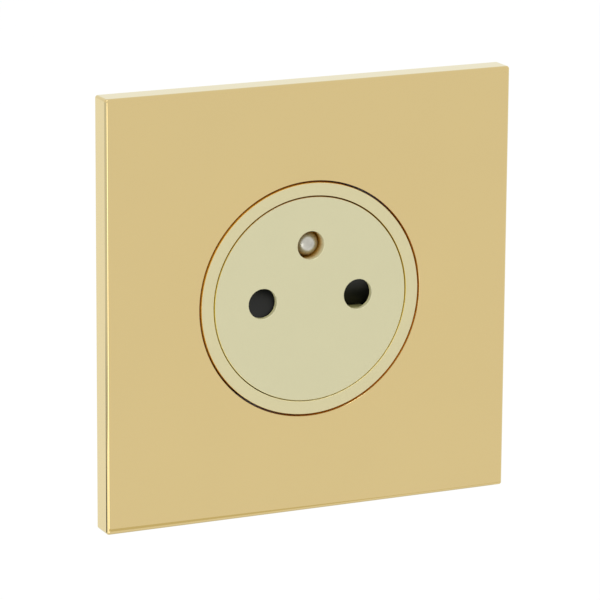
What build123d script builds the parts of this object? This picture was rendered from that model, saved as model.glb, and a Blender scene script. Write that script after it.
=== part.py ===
# Flush wall socket: a square metal cover plate round a sprung face that sinks as the plug goes in.
#
# The part is drawn lying on its back: X right, Y up the wall, Z out of the wall towards the room,
# with Z = 0 on the wall. STAND_UP then turns it upright, front towards -Y. All sizes are in millimetres.
from build123d import *
import math
import os

STAND_UP = Rot(90, 0, 0)

# Plug standard: two live pins and an earth pin that stands in the socket
PIN_PITCH = 19.0
PIN_HOLE_D = 5.6
PIN_WAY_D = 5.4
EARTH_OFFSET = 10.0
EARTH_PIN_D = 4.8
EARTH_PIN_GAP = 0.24
EARTH_TIP_DEPTH = 0.6
EARTH_TIP_ROUND = 2.25
TRAVEL = 15.0

# Support frame, screwed to the wall box on 60 mm centres
SCREW_CENTRES = 60.0
SLOT_LENGTH = 7.0
SLOT_WIDTH = 4.2
FRAME_T = 1.0
FRAME_EDGE = 1.5
FRAME_CORNER = 5.0
BEND_INSIDE = 0.2
LIP_HEIGHT = 2.4
LIP_LENGTH = 46.0
RELIEF = 1.2
OPENING_GAP = 0.7

# Cover plate and the moulded liner that clips it on
PLATE_T = 4.8
PLATE_MARGIN = 5.0
PLATE_SKIN = 1.3
PLATE_RIM = 1.6
PLATE_EDGE_R = 0.55
PLATE_GAP = 0.38
COLLAR_WALL = 1.4
BORE_EDGE = 0.1
LINER_T = 1.0
LINER_GAP = 0.2
CLIP_WIDTH = 10.0
CLIP_T = 1.1
CLIP_GAP = 0.25
CLIP_BITE = 0.55
CLIP_BUMP = 0.6
CLIP_FOOT = 0.4
WINDOW_GAP = 0.1

# Moving face
FACE_D = 38.0
FACE_GAP = 0.2
FACE_SKIN = 1.0
FACE_SKIRT = 1.2
FACE_EDGE = 0.08
HOLE_EDGE = 0.08
CHAMBER = 4.7
BASE_T = 1.6
BASE_SPIGOT = 1.2
STOP_LAP = 0.9
RUNNING_GAP = 0.28
SEAT_GAP = 0.1
EARTH_TUBE_WALL = 1.2
RIB_T = 1.2
RIB_SET = 0.25
RIB_LENGTH = 5.0
RIB_END = 0.6

# Rotary shutter
SHUTTER_GAP = 0.2
PIVOT_D = 4.6
PIVOT_GAP = 0.1
HUB_WALL = 2.4
HUB_HEIGHT = 2.6
SHUTTER_LEAD = 0.8
ARM_OVERREACH = 1.9
RAMP_LAND = 0.7
RAMP_DEPTH = 1.9
GROOVE_R = 12.0
GROOVE_DEPTH = 0.7
SPRING_ROOM = 2.1
SHUTTER_WIRE_D = 0.5
SHUTTER_LEG = 8.5
PEG_D = 1.4
PEG_SET = 4.6

# Trim ring, with the sleeve that lines the front of the well
RING_WIDTH = 2.4
RING_EDGE = 0.08
SLEEVE_LENGTH = 5.2
SNAP_WIDTH = 5.0
SNAP_HEIGHT = 1.5
SNAP_BITE = 0.45
SNAP_SET = 2.0

# Well housing
SOCKET_WALL = 1.5
WELL_WALL = 1.6
SHOULDER = 2.0
REAR_FLANGE = 2.5
FRONT_FLANGE = 1.2
FLANGE_LAND = 2.0
BODY_CORNER = 6.0
BOSS_D = 6.0
BOSS_INSET = 4.6
BOSS_LENGTH = 11.0
RIB_WIDTH = 1.4
LUG_WIDTH = 7.0
LUG_REACH = 0.8
LUG_LENGTH = 2.6

# Contact block, rear cover and what they hold
FLOOR_GAP = 1.3
BLOCK_SPIGOT = 1.2
BLOCK_WALL = 1.4
SIDE_WALL = 2.4
POCKET_WIDTH = 9.2
POCKET_GAP = 0.2
PIN_ROOM = 2.9
SPRING_WEB = 0.7
SPRING_POCKET = 8.2
FUNNEL = 0.5
CORE_WALL = 2.0
COVER_T = 2.0
COVER_EDGE = 0.7
WIRE_FUNNEL = 0.8
STRIP_T = 0.8
STRIP_HOLE_GAP = 0.5
LEAF_T = 0.6
LEAF_WIDTH = 4.6
LEAF_PINCH = 2.1
LEAF_FLARE = 0.8
LEAF_LENGTH = 8.0
RIVET_D = 3.4
RIVET_HEAD_D = 5.8
RIVET_HEAD_T = 1.2
TERMINAL_DEPTH = 7.0
TERMINAL_WIDTH = 7.6
TERMINAL_LENGTH = 8.8
WIRE_D = 4.2
WIRE_INSET = 4.4
COVER_HOLE_D = 4.8
TERMINAL_EDGE = 0.4

# Screws and the return spring
TERMINAL_SCREW_D = 3.4
TERMINAL_HEAD_D = 5.4
TERMINAL_HEAD_T = 1.9
HOUSING_SCREW_D = 2.6
HOUSING_HEAD_D = 5.2
HOUSING_HEAD_T = 1.2
HOUSING_SCREW_L = 17.0
FACE_SCREW_D = 1.7
FACE_HEAD_D = 3.8
FACE_HEAD_T = 1.0
FACE_SCREW_RADIUS = 14.0
FACE_SCREW_ANGLE = 122.0
FACE_SCREW_BITE = 3.0
FACE_BOSS_WALL = 1.1
SCREW_GAP = 0.1
HOLE_GAP = 0.35
DRIVE_WIDTH = 0.8
DRIVE_SHARE = 0.55
WIRE_SPRING_D = 0.9
SPRING_TURNS = 6
SPRING_GAP = 0.35
WIRE_SIDES = 6

# How near an edge lies to the place where it is looked for
NEAR = 1e-4

# Radii worked outwards from the face
FACE_R = FACE_D / 2
RING_IN = FACE_R + FACE_GAP
RING_OUT = RING_IN + RING_WIDTH
BORE_R = RING_OUT + PLATE_GAP
STOP_R = RING_IN + STOP_LAP
WELL_R = STOP_R + RUNNING_GAP
SOCKET_R = RING_OUT + SEAT_GAP
BODY_HALF = SOCKET_R + SOCKET_WALL
OPENING_HALF = BODY_HALF + OPENING_GAP
FRAME_HALF = SCREW_CENTRES / 2 + SLOT_LENGTH / 2 + FRAME_EDGE
PLATE_HALF = FRAME_HALF + PLATE_MARGIN
POCKET_HALF = PLATE_HALF - PLATE_RIM
LIVE_R = PIN_PITCH / 2
HOLE_R = PIN_HOLE_D / 2
EARTH_R = EARTH_PIN_D / 2
EARTH_HOLE_R = EARTH_R + EARTH_PIN_GAP
TERMINAL_OUT = BODY_HALF - SIDE_WALL - POCKET_GAP
TERMINAL_IN = TERMINAL_OUT - TERMINAL_DEPTH
WIRE_R = TERMINAL_OUT - WIRE_INSET
BOSS_AT = BODY_HALF - BOSS_INSET
SPRING_POCKET_R = LIVE_R - PIN_ROOM - SPRING_WEB
SPRING_R = SPRING_POCKET_R - SPRING_GAP - WIRE_SPRING_D / 2

# Levels worked inwards from the front
Z_FRONT = PLATE_T
Z_PLATE_BACK = Z_FRONT - PLATE_SKIN
Z_LINER = Z_PLATE_BACK - LINER_T
Z_SKIN = Z_FRONT - FACE_SKIN
Z_BASE = Z_SKIN - CHAMBER
Z_BASE_BACK = Z_BASE - BASE_T
Z_RING_STOP = Z_BASE
Z_SLEEVE = Z_RING_STOP - SLEEVE_LENGTH
Z_FLOOR = Z_BASE_BACK - TRAVEL - FLOOR_GAP
Z_BLOCK = Z_FLOOR - BLOCK_SPIGOT
Z_POCKET = Z_BLOCK - BLOCK_WALL
Z_STRIP = Z_POCKET - STRIP_T
Z_COVER = Z_STRIP - TERMINAL_LENGTH
Z_BACK = Z_COVER - COVER_T
Z_SPRING_SEAT = Z_FLOOR - SPRING_POCKET
Z_SHUTTER_TOP = Z_SKIN - SHUTTER_GAP
Z_SHUTTER_BACK = Z_BASE + SHUTTER_GAP
Z_HUB = Z_SHUTTER_TOP - HUB_HEIGHT
Z_TERMINAL = (Z_STRIP + Z_COVER) / 2

# Where the three poles lie: angle round the axis and distance of the pin from it
POLES = {
    "line": (0, LIVE_R),
    "neutral": (180, LIVE_R),
    "earth": (90, EARTH_OFFSET),
}
CORNERS = [(sx * BOSS_AT, sy * BOSS_AT) for sx in (-1, 1) for sy in (-1, 1)]
LIVE_PINS = [(LIVE_R, 0), (-LIVE_R, 0)]
EARTH_AT = (0, EARTH_OFFSET)
FACE_SCREWS = [
    (
        FACE_SCREW_RADIUS * math.cos(math.radians(FACE_SCREW_ANGLE + turn)),
        FACE_SCREW_RADIUS * math.sin(math.radians(FACE_SCREW_ANGLE + turn)),
    )
    for turn in (0, 180)
]


def post(radius, z_low, z_high, at=(0, 0)):
    """A round post between two levels."""
    upright = Cylinder(radius, z_high - z_low, align=(Align.CENTER, Align.CENTER, Align.MIN))
    return Pos(at[0], at[1], z_low) * upright


def cone(radius_low, radius_high, z_low, z_high, at=(0, 0)):
    """A cone between two levels, for a funnel or a countersink."""
    shape = Cone(radius_low, radius_high, z_high - z_low, align=(Align.CENTER, Align.CENTER, Align.MIN))
    return Pos(at[0], at[1], z_low) * shape


def tube(radius_out, radius_in, z_low, z_high, at=(0, 0)):
    """A round wall between two levels."""
    return post(radius_out, z_low, z_high, at) - post(radius_in, z_low, z_high, at)


def slab(x, y, z):
    """A block given as three (low, high) pairs."""
    size = [high - low for low, high in (x, y, z)]
    return Pos(x[0], y[0], z[0]) * Box(*size, align=(Align.MIN, Align.MIN, Align.MIN))


def square(half, corner, z_low, z_high):
    """A square plate with rounded corners between two levels."""
    outline = RectangleRounded(2 * half, 2 * half, corner)
    return Pos(0, 0, z_low) * extrude(outline, z_high - z_low)


def spin(profile):
    """A round piece from its half section, given as points (radius, level)."""
    return revolve(Plane.XZ * make_face(Polyline(*profile, close=True)), Axis.Z)


def drawn(profile, x_low, x_high):
    """A bar along X from its section, given as points (y, level)."""
    section = Plane.YZ * make_face(Polyline(*profile, close=True))
    return Pos(x_low, 0, 0) * extrude(section, x_high - x_low)


def turned(shape, angle):
    """The shape turned about the socket's axis."""
    return Rot(0, 0, angle) * shape


def all_round(shape, count=4, start=0):
    """Copies of the shape evenly spaced about the socket's axis."""
    return [turned(shape, start + 360 / count * i) for i in range(count)]


def rims(shape, radius, level):
    """The round edges of that radius at that level."""
    edges = shape.edges().filter_by(GeomType.CIRCLE)
    return edges.filter_by(
        lambda e: abs(e.radius - radius) < NEAR and abs(e.arc_center.Z - level) < NEAR
    )


def slotted_screw(head_d, head_t, shank_d, shank_l):
    """A cheese-head screw on Z: its head stands on Z = 0 and its shank points down."""
    head = post(head_d / 2, 0, head_t)
    head = chamfer(rims(head, head_d / 2, head_t), head_t / 5)
    slot = slab(
        (-head_d, head_d),
        (-DRIVE_WIDTH / 2, DRIVE_WIDTH / 2),
        (head_t * (1 - DRIVE_SHARE), head_t),
    )
    return head - slot + post(shank_d / 2, -shank_l, 0)


# Cover plate and its fixing

def make_cover_plate():
    """Hollow metal plate with a rounded front edge and a collar round its bore."""
    plate = extrude(Rectangle(2 * PLATE_HALF, 2 * PLATE_HALF), PLATE_T)
    front_edges = plate.faces().sort_by(Axis.Z)[-1].edges()
    plate = fillet(plate.edges().filter_by(Axis.Z) + front_edges, PLATE_EDGE_R)
    plate -= square(POCKET_HALF, PLATE_EDGE_R / 2, 0, Z_PLATE_BACK)
    plate += post(BORE_R + COLLAR_WALL, Z_LINER, Z_PLATE_BACK)
    plate -= post(BORE_R, 0, PLATE_T)
    return chamfer(rims(plate, BORE_R, Z_FRONT), BORE_EDGE)


def make_plate_liner():
    """Moulded frame bonded inside the plate, with a sprung clip on each side."""
    outer = POCKET_HALF - LINER_GAP
    inner = OPENING_HALF + FLANGE_LAND + 5 * LINER_GAP
    liner = square(outer, PLATE_EDGE_R, Z_LINER, Z_PLATE_BACK)
    liner -= square(inner, BODY_CORNER, Z_LINER, Z_PLATE_BACK)
    root = FRAME_HALF + CLIP_GAP
    bump_mid = (FRAME_T + LIP_HEIGHT) / 2
    leg = [
        (root, Z_LINER + LINER_T / 2),
        (root + CLIP_T, Z_LINER + LINER_T / 2),
        (root + CLIP_T, CLIP_FOOT),
        (root, CLIP_FOOT),
        (root, bump_mid - CLIP_BUMP / 2),
        (root - CLIP_BITE, bump_mid - CLIP_BUMP / 4),
        (root - CLIP_BITE, bump_mid + CLIP_BUMP / 4),
        (root, bump_mid + CLIP_BUMP / 2),
    ]
    for clip in all_round(drawn(leg, -CLIP_WIDTH / 2, CLIP_WIDTH / 2)):
        liner += clip
    return liner


def make_support_frame():
    """Pressed steel frame: four screw slots, and lips bent forward that the clips catch."""
    frame = square(FRAME_HALF, FRAME_CORNER, 0, FRAME_T)
    frame -= square(OPENING_HALF, BODY_CORNER, 0, FRAME_T)
    slot = extrude(SlotOverall(SLOT_LENGTH, SLOT_WIDTH), FRAME_T)
    bend = BEND_INSIDE + FRAME_T
    corner = (FRAME_HALF - bend, bend)
    lip_section = make_face(
        [
            CenterArc(corner, bend, 270, 90),
            Line((FRAME_HALF, bend), (FRAME_HALF, LIP_HEIGHT)),
            Line((FRAME_HALF, LIP_HEIGHT), (FRAME_HALF - FRAME_T, LIP_HEIGHT)),
            Line((FRAME_HALF - FRAME_T, LIP_HEIGHT), (FRAME_HALF - FRAME_T, bend)),
            CenterArc(corner, BEND_INSIDE, 270, 90),
            Line((FRAME_HALF - bend, FRAME_T), (FRAME_HALF - bend, 0)),
        ]
    )
    lip = Pos(0, LIP_LENGTH / 2, 0) * extrude(Plane.XZ * lip_section, LIP_LENGTH)
    window_half = CLIP_WIDTH / 2 + CLIP_GAP
    window_mid = (FRAME_T + LIP_HEIGHT) / 2
    window_rise = CLIP_BUMP / 2 + WINDOW_GAP
    lip -= slab(
        (FRAME_HALF - FRAME_T, FRAME_HALF),
        (-window_half, window_half),
        (window_mid - window_rise, window_mid + window_rise),
    )
    reach = LIP_LENGTH / 2 + RELIEF
    blank = slab((FRAME_HALF - bend, FRAME_HALF), (-reach, reach), (0, FRAME_T))
    for angle in (0, 90, 180, 270):
        frame -= turned(blank, angle)
        frame -= turned(Pos(SCREW_CENTRES / 2, 0, 0) * slot, angle)
        frame += turned(lip, angle)
    return frame


# Well that the face runs in

def snap_block(reach, clearance):
    """A bump on the sleeve, or with a clearance the window that it clicks into."""
    z_mid = (Z_SLEEVE + Z_RING_STOP) / 2
    half = SNAP_WIDTH / 2 + clearance
    rise = SNAP_HEIGHT / 2 + clearance
    return slab((WELL_R + SEAT_GAP, reach), (-half, half), (z_mid - rise, z_mid + rise))


def make_trim_ring():
    """Ring round the face. Its inner shoulder stops the face, and its sleeve snaps into the well."""
    sleeve_in = WELL_R
    ring = spin(
        [
            (RING_IN, Z_FRONT),
            (RING_OUT, Z_FRONT),
            (RING_OUT, Z_SLEEVE),
            (sleeve_in, Z_SLEEVE),
            (sleeve_in, Z_RING_STOP),
            (RING_IN, Z_RING_STOP),
        ]
    )
    ring = chamfer(rims(ring, RING_OUT, Z_FRONT) + rims(ring, RING_IN, Z_FRONT), RING_EDGE)
    bump = snap_block(RING_OUT + SNAP_BITE, 0)
    for snap in all_round(bump, start=45):
        ring += snap
    return ring


def make_well_housing():
    """Round well with a front flange on the frame, snap lugs behind it and screw bosses at its corners."""
    z_step = Z_SLEEVE - SHOULDER
    front = FRAME_T + FRONT_FLANGE
    shell = spin(
        [
            (SOCKET_R, front),
            (BODY_HALF, front),
            (BODY_HALF, z_step),
            (WELL_R + WELL_WALL, z_step - SHOULDER),
            (WELL_R + WELL_WALL, Z_BLOCK),
            (WELL_R, Z_BLOCK),
            (WELL_R, Z_SLEEVE),
            (SOCKET_R, Z_SLEEVE),
        ]
    )
    flange = square(OPENING_HALF + FLANGE_LAND, BODY_CORNER, FRAME_T, front)
    shell += flange - post(SOCKET_R, FRAME_T, front)
    rear = square(BODY_HALF, BODY_CORNER, Z_BLOCK, Z_BLOCK + REAR_FLANGE)
    shell += rear - post(WELL_R, Z_BLOCK, Z_BLOCK + REAR_FLANGE)
    clear_well = post(WELL_R + WELL_WALL / 2, Z_BLOCK, Z_BLOCK + BOSS_LENGTH)
    rib = slab(
        (WELL_R + WELL_WALL / 2, BODY_HALF),
        (-RIB_WIDTH / 2, RIB_WIDTH / 2),
        (Z_BLOCK, z_step),
    )
    lug_root = BODY_HALF - SOCKET_WALL / 2
    lug_tip = OPENING_HALF + LUG_REACH
    lug_section = [
        (lug_root, 0),
        (lug_tip, 0),
        (lug_tip, -LUG_LENGTH / 3),
        (BODY_HALF, -LUG_LENGTH),
        (lug_root, -LUG_LENGTH),
    ]
    lug = turned(drawn(lug_section, -LUG_WIDTH / 2, LUG_WIDTH / 2), -90)
    for angle in (0, 90, 180, 270):
        shell += turned(rib, angle)
        shell += turned(lug, angle)
    for corner in CORNERS:
        shell += post(BOSS_D / 2, Z_BLOCK, Z_BLOCK + BOSS_LENGTH, corner) - clear_well
    for corner in CORNERS:
        shell -= post(HOUSING_SCREW_D / 2 + SCREW_GAP, Z_BLOCK, Z_BLOCK + BOSS_LENGTH - BASE_T, corner)
    for window in all_round(snap_block(BODY_HALF + SNAP_BITE, SEAT_GAP), start=45):
        shell -= window
    return shell


# Sprung face

def make_face_disc():
    """Round face: a thin skin with a skirt, the earth tube, the shutter's stop ribs and screw bosses."""
    face = post(FACE_R, Z_BASE, Z_FRONT)
    face -= post(FACE_R - FACE_SKIRT, Z_BASE, Z_SKIN)
    face += post(EARTH_HOLE_R + EARTH_TUBE_WALL, Z_BASE, Z_SKIN, EARTH_AT)
    rib_top = -(HOLE_R + RIB_SET)
    rib = slab(
        (LIVE_R - RIB_LENGTH / 2, LIVE_R + RIB_LENGTH / 2),
        (rib_top - RIB_T, rib_top),
        (Z_BASE + RIB_END, Z_SKIN),
    )
    for stop in all_round(rib, 2):
        face += stop
    pilot_r = FACE_SCREW_D / 2 + SCREW_GAP
    for at in FACE_SCREWS:
        face += post(pilot_r + FACE_BOSS_WALL, Z_BASE, Z_SKIN, at)
        face -= post(pilot_r, Z_BASE, Z_BASE + FACE_SCREW_BITE + SHUTTER_GAP, at)
    face -= post(EARTH_HOLE_R, Z_BASE, Z_FRONT, EARTH_AT)
    for at in LIVE_PINS:
        face -= post(HOLE_R, Z_SKIN, Z_FRONT, at)
    face = chamfer(rims(face, FACE_R, Z_FRONT), FACE_EDGE)
    hole_rims = rims(face, HOLE_R, Z_FRONT) + rims(face, EARTH_HOLE_R, Z_FRONT)
    return chamfer(hole_rims, HOLE_EDGE)


def make_shutter_base():
    """Floor of the face: it closes the shutter's chamber, stops on the ring and takes the return spring."""
    base = post(STOP_R, Z_BASE_BACK, Z_BASE)
    spigot_r = FACE_R - FACE_SKIRT - SEAT_GAP
    base += tube(spigot_r, spigot_r - FACE_SKIRT, Z_BASE, Z_BASE + BASE_SPIGOT)
    base += post(PIVOT_D / 2, Z_BASE, Z_SHUTTER_TOP - PIVOT_GAP)
    peg_y = -(spring_loop_radius() + (SHUTTER_WIRE_D + PEG_D) / 2 + PIVOT_GAP / 2)
    base += post(PEG_D / 2, Z_BASE, Z_HUB - SHUTTER_GAP, (PEG_SET, peg_y))
    base += post(SPRING_R - WIRE_SPRING_D / 2 - SPRING_GAP, Z_BASE_BACK - BASE_T, Z_BASE_BACK)
    for at in FACE_SCREWS:
        base -= post(FACE_SCREW_D / 2 + HOLE_GAP, Z_BASE_BACK, Z_BASE, at)
        base -= post(FACE_HEAD_D / 2 + HOLE_GAP, Z_BASE_BACK, Z_BASE_BACK + FACE_HEAD_T, at)
    base -= post(EARTH_HOLE_R, Z_BASE_BACK, Z_BASE, EARTH_AT)
    for at in LIVE_PINS:
        base -= post(HOLE_R, Z_BASE_BACK, Z_BASE, at)
    return base


def make_face_screws():
    """Two small screws that hold the floor to the face."""
    screw = slotted_screw(FACE_HEAD_D, FACE_HEAD_T, FACE_SCREW_D, BASE_T - FACE_HEAD_T + FACE_SCREW_BITE)
    seat = Z_BASE_BACK + FACE_HEAD_T
    return [Pos(*at, seat) * Rot(180, 0, 0) * screw for at in FACE_SCREWS]


def spring_loop_radius():
    """Centre line of the shutter spring's loop: its upper leg lies on the blade's leading side."""
    return HOLE_R + SHUTTER_LEAD + SHUTTER_WIRE_D / 2 + PIVOT_GAP / 2


def make_shutter():
    """Two-armed shutter that turns on the pivot. Each arm has a ramp that the plug's pin pushes aside."""
    lead = HOLE_R + SHUTTER_LEAD
    trail = -(HOLE_R + RIB_SET - SHUTTER_GAP)
    ramp_top = lead - RAMP_LAND
    ramp_foot = Z_SHUTTER_TOP - RAMP_DEPTH
    arm_end = LIVE_R + HOLE_R + ARM_OVERREACH
    section = [
        (trail, Z_SHUTTER_BACK),
        (trail, ramp_foot),
        (ramp_top, Z_SHUTTER_TOP),
        (lead, Z_SHUTTER_TOP),
        (lead, Z_SHUTTER_BACK),
    ]
    arm = drawn(section, PIVOT_D / 2, arm_end)
    slope = math.atan2(RAMP_DEPTH, ramp_top - trail)
    ramp_middle = ((trail + ramp_top) / 2, (ramp_foot + Z_SHUTTER_TOP) / 2)
    lift = GROOVE_R - GROOVE_DEPTH
    groove_axis = (
        ramp_middle[0] - lift * math.sin(slope),
        ramp_middle[1] + lift * math.cos(slope),
    )
    groove_tilt = math.degrees(slope) - 90
    groove = Cylinder(GROOVE_R, 4 * lead)
    arm -= Pos(LIVE_R, *groove_axis) * Rot(groove_tilt, 0, 0) * groove
    hub_r = PIVOT_D / 2 + HUB_WALL
    shutter = post(hub_r, Z_HUB, Z_SHUTTER_TOP)
    for copy in all_round(arm, 2):
        shutter += copy
    shutter -= post(PIVOT_D / 2 + SPRING_ROOM, Z_SHUTTER_BACK, Z_HUB)
    return shutter - post(PIVOT_D / 2 + PIVOT_GAP, Z_SHUTTER_BACK, Z_SHUTTER_TOP)


def make_shutter_spring():
    """Hairpin wire spring round the pivot: one leg on the blade, the other on the peg."""
    radius = spring_loop_radius()
    level = (Z_SHUTTER_BACK + Z_HUB) / 2
    path = Wire(
        [
            Line((SHUTTER_LEG, radius), (0, radius)),
            CenterArc((0, 0), radius, 90, 180),
            Line((0, -radius), (PEG_SET + PEG_D, -radius)),
        ]
    )
    wire = RegularPolygon(SHUTTER_WIRE_D / 2, WIRE_SIDES)
    section = Plane(origin=path @ 0, z_dir=path % 0) * wire
    return Pos(0, 0, level) * sweep(section, path)


# Contact block and its metal parts

def pole_pocket(pin_r):
    """Room for a contact strip and its terminal, for a pole that lies along +X."""
    half = POCKET_WIDTH / 2
    return slab((pin_r - PIN_ROOM, TERMINAL_OUT + POCKET_GAP), (-half, half), (Z_COVER, Z_POCKET))


def screw_window():
    """Round opening in the side wall for a terminal screw's head."""
    reach = BODY_HALF - TERMINAL_OUT
    hole = Cylinder(TERMINAL_HEAD_D / 2 + HOLE_GAP, reach, align=(Align.CENTER, Align.CENTER, Align.MIN))
    return Pos(TERMINAL_OUT, 0, Z_TERMINAL) * Rot(0, 90, 0) * hole


def make_contact_block():
    """Insulating block: its front is the well's floor, and its pockets hold the contacts and terminals."""
    block = square(BODY_HALF, BODY_CORNER, Z_COVER, Z_BLOCK)
    block += post(WELL_R - SEAT_GAP, Z_BLOCK, Z_FLOOR)
    for angle, pin_r in POLES.values():
        block -= turned(pole_pocket(pin_r), angle)
        block -= turned(screw_window(), angle)
    core_half = TERMINAL_WIDTH
    core_top = -(SPRING_POCKET_R + CORE_WALL)
    core = slab((-core_half, core_half), (-BODY_HALF + SIDE_WALL, core_top), (Z_COVER, Z_POCKET))
    core_web = slab((-CORE_WALL / 2, CORE_WALL / 2), (-BODY_HALF, 0), (Z_COVER, Z_POCKET))
    block -= core - core_web
    block -= post(SPRING_POCKET_R, Z_SPRING_SEAT, Z_FLOOR)
    block -= post(EARTH_R + SCREW_GAP, Z_POCKET, Z_FLOOR, EARTH_AT)
    way_r = PIN_WAY_D / 2
    for at in LIVE_PINS:
        block -= post(way_r, Z_POCKET, Z_FLOOR, at)
        block -= cone(way_r, way_r + FUNNEL, Z_FLOOR - FUNNEL, Z_FLOOR, at)
    for corner in CORNERS:
        block -= post(HOUSING_SCREW_D / 2 + HOLE_GAP, Z_COVER, Z_BLOCK, corner)
    return block


def make_rear_cover():
    """Flat cover with a funnelled wire hole for each terminal."""
    cover = square(BODY_HALF, BODY_CORNER, Z_BACK, Z_COVER)
    cover = chamfer(cover.faces().sort_by(Axis.Z)[0].edges(), COVER_EDGE)
    hole_r = COVER_HOLE_D / 2
    for angle, _ in POLES.values():
        funnel = cone(hole_r + WIRE_FUNNEL, hole_r, Z_BACK, Z_BACK + WIRE_FUNNEL)
        cover -= turned(Pos(WIRE_R, 0, 0) * (post(hole_r, Z_BACK, Z_COVER) + funnel), angle)
    for corner in CORNERS:
        cover -= post(HOUSING_SCREW_D / 2 + HOLE_GAP, Z_BACK, Z_COVER, corner)
        cover -= post(HOUSING_HEAD_D / 2 + HOLE_GAP, Z_BACK, Z_BACK + HOUSING_HEAD_T, corner)
    return cover


def contact_strip(pin_r, hole_r):
    """Flat strip under a terminal, with a round hole on the pin's axis."""
    half = POCKET_WIDTH / 2 - 2 * POCKET_GAP
    x_low = pin_r - PIN_ROOM + POCKET_GAP
    strip = slab((x_low, TERMINAL_OUT), (-half, half), (Z_STRIP, Z_POCKET))
    strip = fillet(strip.edges().filter_by(Axis.Z), TERMINAL_EDGE)
    return strip - post(hole_r, Z_STRIP, Z_POCKET, (pin_r, 0))


def make_live_contact(angle):
    """Bronze contact: the strip and two sprung leaves that grip the plug's pin."""
    way_r = PIN_WAY_D / 2 + STRIP_HOLE_GAP
    z_pinch = Z_STRIP - LEAF_LENGTH * 2 / 3
    z_tip = Z_STRIP - LEAF_LENGTH
    leaf_section = [
        (way_r, Z_STRIP + STRIP_T / 2),
        (LEAF_PINCH, z_pinch),
        (LEAF_PINCH + LEAF_FLARE, z_tip),
        (LEAF_PINCH + LEAF_FLARE + LEAF_T, z_tip),
        (LEAF_PINCH + LEAF_T, z_pinch),
        (way_r + LEAF_T, Z_STRIP + STRIP_T / 2),
    ]
    leaf = drawn(leaf_section, LIVE_R - LEAF_WIDTH / 2, LIVE_R + LEAF_WIDTH / 2)
    pinch_edges = leaf.edges().filter_by(Axis.X).filter_by(lambda e: abs(e.center().Z - z_pinch) < NEAR)
    leaf = fillet(pinch_edges, LEAF_T)
    contact = contact_strip(LIVE_R, way_r) + leaf + mirror(leaf, Plane.XZ)
    return turned(contact, angle)


def make_earth_strap(angle):
    """Brass strap from the earth pin's rivet to the earth terminal."""
    return turned(contact_strip(EARTH_OFFSET, RIVET_D / 2 + SCREW_GAP / 2), angle)


def make_earth_pin():
    """Plated earth pin, rounded at its tip and riveted to the strap."""
    z_tip = Z_FRONT - EARTH_TIP_DEPTH
    z_head = Z_STRIP - RIVET_HEAD_T
    pin = spin(
        [
            (0, z_tip),
            (EARTH_R, z_tip),
            (EARTH_R, Z_POCKET),
            (RIVET_D / 2, Z_POCKET),
            (RIVET_D / 2, Z_STRIP),
            (RIVET_HEAD_D / 2, Z_STRIP),
            (RIVET_HEAD_D / 2, z_head),
            (0, z_head),
        ]
    )
    pin = fillet(rims(pin, EARTH_R, z_tip), EARTH_TIP_ROUND)
    pin = chamfer(rims(pin, RIVET_HEAD_D / 2, z_head), RIVET_HEAD_T / 2)
    return Pos(*EARTH_AT, 0) * pin


def make_terminal(angle):
    """Brass terminal block: a wire hole from the rear, and a threaded hole for its screw from the side."""
    half = TERMINAL_WIDTH / 2
    block = slab((TERMINAL_IN, TERMINAL_OUT), (-half, half), (Z_COVER, Z_STRIP))
    block = chamfer(block.edges().filter_by(Axis.Z), TERMINAL_EDGE)
    block -= post(WIRE_D / 2, Z_COVER, Z_STRIP, (WIRE_R, 0))
    depth = TERMINAL_OUT - WIRE_R
    thread = Cylinder(TERMINAL_SCREW_D / 2 + SCREW_GAP, depth, align=(Align.CENTER, Align.CENTER, Align.MIN))
    block -= Pos(WIRE_R, 0, Z_TERMINAL) * Rot(0, 90, 0) * thread
    return turned(block, angle)


def make_terminal_screws():
    """Three clamp screws, backed out so that the wire holes are open."""
    shank = TERMINAL_OUT - WIRE_R - WIRE_D / 2
    screw = slotted_screw(TERMINAL_HEAD_D, TERMINAL_HEAD_T, TERMINAL_SCREW_D, shank)
    placed = Pos(TERMINAL_OUT, 0, Z_TERMINAL) * Rot(0, 90, 0) * screw
    return [turned(placed, angle) for angle, _ in POLES.values()]


def make_housing_screws():
    """Four screws from the rear through cover and block into the well's bosses."""
    screw = slotted_screw(HOUSING_HEAD_D, HOUSING_HEAD_T, HOUSING_SCREW_D, HOUSING_SCREW_L)
    seat = Z_BACK + HOUSING_HEAD_T
    return [Pos(*corner, seat) * Rot(180, 0, 0) * screw for corner in CORNERS]


def make_return_spring():
    """Compression spring that brings the face back, from its pocket in the block to the face's floor."""
    z_low = Z_SPRING_SEAT + WIRE_SPRING_D / 2
    height = Z_BASE_BACK - Z_SPRING_SEAT - WIRE_SPRING_D
    path = Helix(pitch=height / SPRING_TURNS, height=height, radius=SPRING_R)
    wire = RegularPolygon(WIRE_SPRING_D / 2, WIRE_SIDES)
    section = Plane(origin=path @ 0, z_dir=path % 0) * wire
    return Pos(0, 0, z_low) * sweep(section, path, is_frenet=True)


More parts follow.
